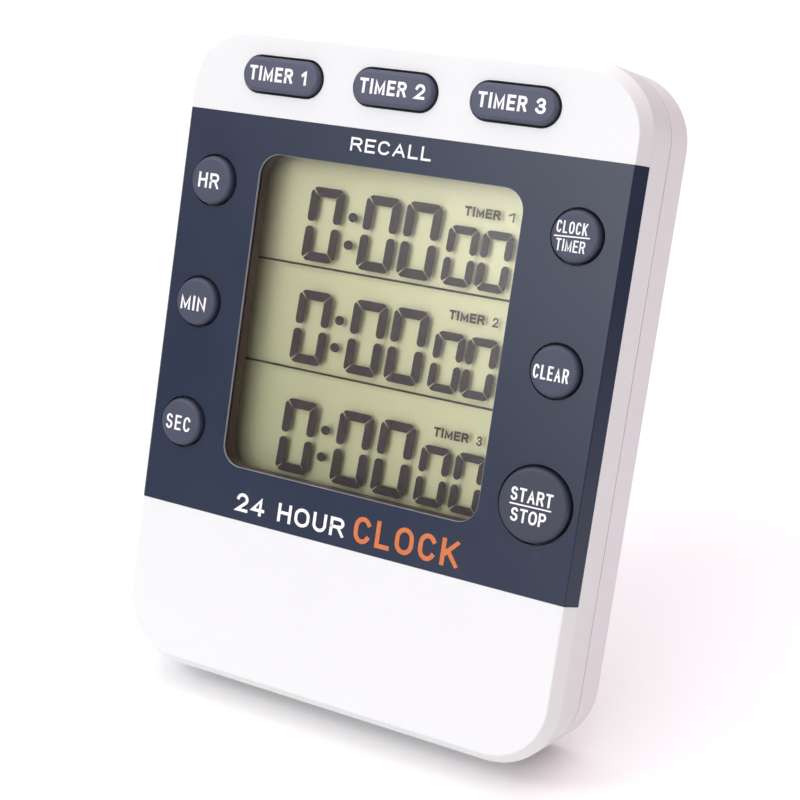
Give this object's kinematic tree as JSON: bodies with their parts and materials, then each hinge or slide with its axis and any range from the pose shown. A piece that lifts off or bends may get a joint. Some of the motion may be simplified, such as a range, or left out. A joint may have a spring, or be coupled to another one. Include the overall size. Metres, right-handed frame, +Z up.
{
  "type": "lab timer",
  "caption": "White plastic digital timer with a dark front panel, a tall LCD window, round and oval push keys, a fold-out stand and a hinged battery door.",
  "frame": {"origin": "the middle of the footprint on the ground, from the front of the case to the foot of the open stand", "axes": "+Z up, +X to the right of someone who faces the display, +Y from the front towards the back; the face leans back 17 degrees"},
  "size_m": [0.091, 0.0599, 0.1203],
  "materials": {
    "case_white": "satin",
    "panel_navy": "satin",
    "clear_window": "polished",
    "lcd_glass": "polished",
    "lcd_back": "satin",
    "bezel_brown": "matte",
    "zebra_rubber": "matte",
    "board_green": "satin",
    "chip_epoxy": "gloss",
    "bright_steel": "polished",
    "chip_tan": "matte",
    "mat_silicone": "matte",
    "key_rubber": "matte",
    "buzzer_brass": "satin",
    "buzzer_white": "matte",
    "wire_red": "satin",
    "cell_jacket": "gloss",
    "magnet_dark": "matte",
    "print_white": "satin",
    "print_orange": "satin",
    "lcd_segment": "satin"
  },
  "bodies": {
    "case": {"front_case": "case_white", "face_panel": "panel_navy", "display_window": "clear_window", "lcd_bezel": "bezel_brown", "lcd_front_glass": "lcd_glass", "lcd_rear_glass": "lcd_glass", "lcd_reflector": "lcd_back", "zebra_strips": "zebra_rubber", "main_board": "board_green", "chip_blob": "chip_epoxy", "quartz_crystal": "bright_steel", "chip_parts": "chip_tan", "key_mat_left": "mat_silicone", "key_mat_right": "mat_silicone", "key_mat_top": "mat_silicone", "buzzer_plate": "buzzer_brass", "buzzer_ceramic": "buzzer_white", "buzzer_wires": "wire_red", "battery_wires": "wire_red", "rear_case": "case_white", "aaa_cell_upper": "cell_jacket", "aaa_cell_lower": "cell_jacket", "contact_plates": "bright_steel", "contact_springs": "bright_steel", "stand_pin": "bright_steel", "magnets": "magnet_dark", "case_screws": "bright_steel", "board_screws": "bright_steel"},
    "timer_1_key": {"timer_1_key": "key_rubber"},
    "timer_2_key": {"timer_2_key": "key_rubber"},
    "timer_3_key": {"timer_3_key": "key_rubber"},
    "hour_key": {"hour_key": "key_rubber"},
    "minute_key": {"minute_key": "key_rubber"},
    "second_key": {"second_key": "key_rubber"},
    "clock_key": {"clock_key": "key_rubber"},
    "clear_key": {"clear_key": "key_rubber"},
    "start_stop_key": {"start_stop_key": "key_rubber"},
    "battery_door": {"battery_door": "case_white"},
    "stand": {"stand": "case_white"}
  },
  "joints": [
    {"name": "timer_1_key_press", "type": "slide", "parent": "case", "child": "timer_1_key", "axis": [0, 0.9563, -0.2924], "range_m": [0, 0.0009], "stiffness_N_per_m": 1000, "springref_m": -0.0004, "deforming": ["key_mat_top"]},
    {"name": "timer_2_key_press", "type": "slide", "parent": "case", "child": "timer_2_key", "axis": [0, 0.9563, -0.2924], "range_m": [0, 0.0009], "stiffness_N_per_m": 1000, "springref_m": -0.0004, "deforming": ["key_mat_top"]},
    {"name": "timer_3_key_press", "type": "slide", "parent": "case", "child": "timer_3_key", "axis": [0, 0.9563, -0.2924], "range_m": [0, 0.0009], "stiffness_N_per_m": 1000, "springref_m": -0.0004, "deforming": ["key_mat_top"]},
    {"name": "hour_key_press", "type": "slide", "parent": "case", "child": "hour_key", "axis": [0, 0.9563, -0.2924], "range_m": [0, 0.0009], "stiffness_N_per_m": 1000, "springref_m": -0.0004, "deforming": ["key_mat_left"]},
    {"name": "minute_key_press", "type": "slide", "parent": "case", "child": "minute_key", "axis": [0, 0.9563, -0.2924], "range_m": [0, 0.0009], "stiffness_N_per_m": 1000, "springref_m": -0.0004, "deforming": ["key_mat_left"]},
    {"name": "second_key_press", "type": "slide", "parent": "case", "child": "second_key", "axis": [0, 0.9563, -0.2924], "range_m": [0, 0.0009], "stiffness_N_per_m": 1000, "springref_m": -0.0004, "deforming": ["key_mat_left"]},
    {"name": "clock_key_press", "type": "slide", "parent": "case", "child": "clock_key", "axis": [0, 0.9563, -0.2924], "range_m": [0, 0.0009], "stiffness_N_per_m": 1000, "springref_m": -0.0004, "deforming": ["key_mat_right"]},
    {"name": "clear_key_press", "type": "slide", "parent": "case", "child": "clear_key", "axis": [0, 0.9563, -0.2924], "range_m": [0, 0.0009], "stiffness_N_per_m": 1000, "springref_m": -0.0004, "deforming": ["key_mat_right"]},
    {"name": "start_stop_key_press", "type": "slide", "parent": "case", "child": "start_stop_key", "axis": [0, 0.9563, -0.2924], "range_m": [0, 0.0009], "stiffness_N_per_m": 1000, "springref_m": -0.0004, "deforming": ["key_mat_right"]},
    {"name": "battery_door_hinge", "type": "hinge", "parent": "case", "child": "battery_door", "pos_m": [0, 0.00439, 0.0536], "axis": [-1, 0, 0], "range_deg": [0, 95]},
    {"name": "stand_hinge", "type": "hinge", "parent": "case", "child": "stand", "pos_m": [0, -0.01015, 0.0088], "axis": [1, 0, 0], "range_deg": [0, 84.1]}
  ]
}
